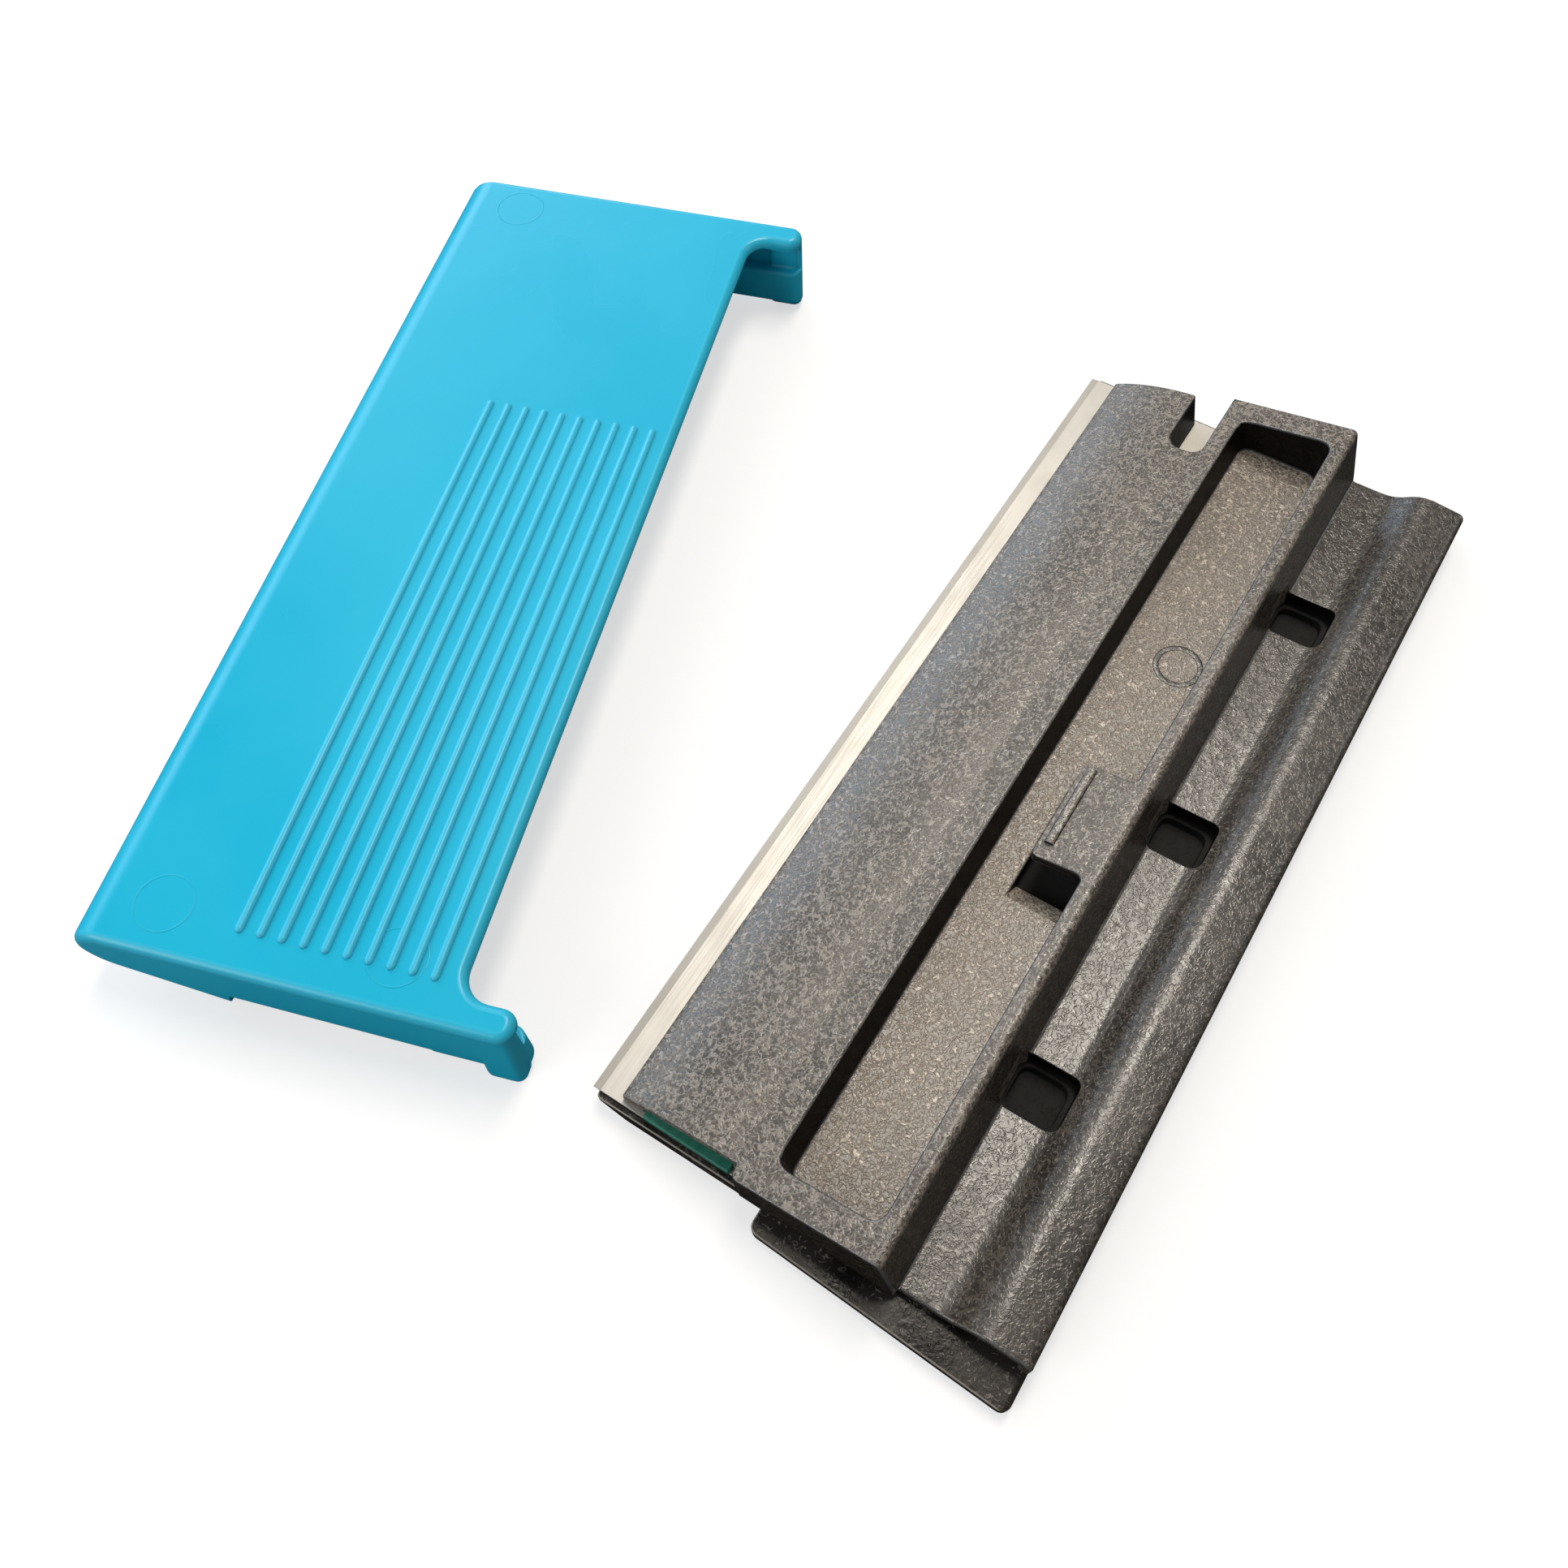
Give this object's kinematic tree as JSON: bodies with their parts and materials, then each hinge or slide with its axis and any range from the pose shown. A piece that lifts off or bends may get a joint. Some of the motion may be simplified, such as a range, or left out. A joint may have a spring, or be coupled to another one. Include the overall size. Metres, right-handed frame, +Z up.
{
  "type": "window scraper",
  "caption": "Hand scraper for window glass: a wide steel blade clamped in a dark pocketed holder, with its ribbed light-blue blade guard taken off and lying beside it.",
  "frame": {"origin": "middle of the back plate's flat underside, half way between the blade's edge and the grip's back edge", "axes": "+X along the blade towards its open end, where it slides out, +Y from the blade's edge to the grip, +Z up out of the pocket"},
  "size_m": [0.1755, 0.1842, 0.016],
  "materials": {
    "fibre_nylon": "dark brown-grey nylon with a mottled glass-fibre skin",
    "gloss_nylon": "smooth glossy black-brown nylon",
    "blade_steel": "pale ground steel with a bevelled edge",
    "teal_plastic": "teal plastic, satin",
    "blue_plastic": "glossy light-blue plastic"
  },
  "bodies": {
    "holder": {"holder_body": "fibre_nylon", "back_plate": "gloss_nylon", "blade_keeper": "teal_plastic"},
    "blade": {"blade": "blade_steel"},
    "guard": {"blade_guard": "blue_plastic"}
  },
  "joints": [
    {"name": "blade_slide", "type": "slide", "parent": "holder", "child": "blade", "axis": [1, 0, 0], "range_m": [0, 0.151]},
    {"name": "guard_pull", "type": "slide", "parent": "holder", "child": "guard", "axis": [0.3074, -0.9516, 0], "range_m": [0, 0.06]}
  ]
}
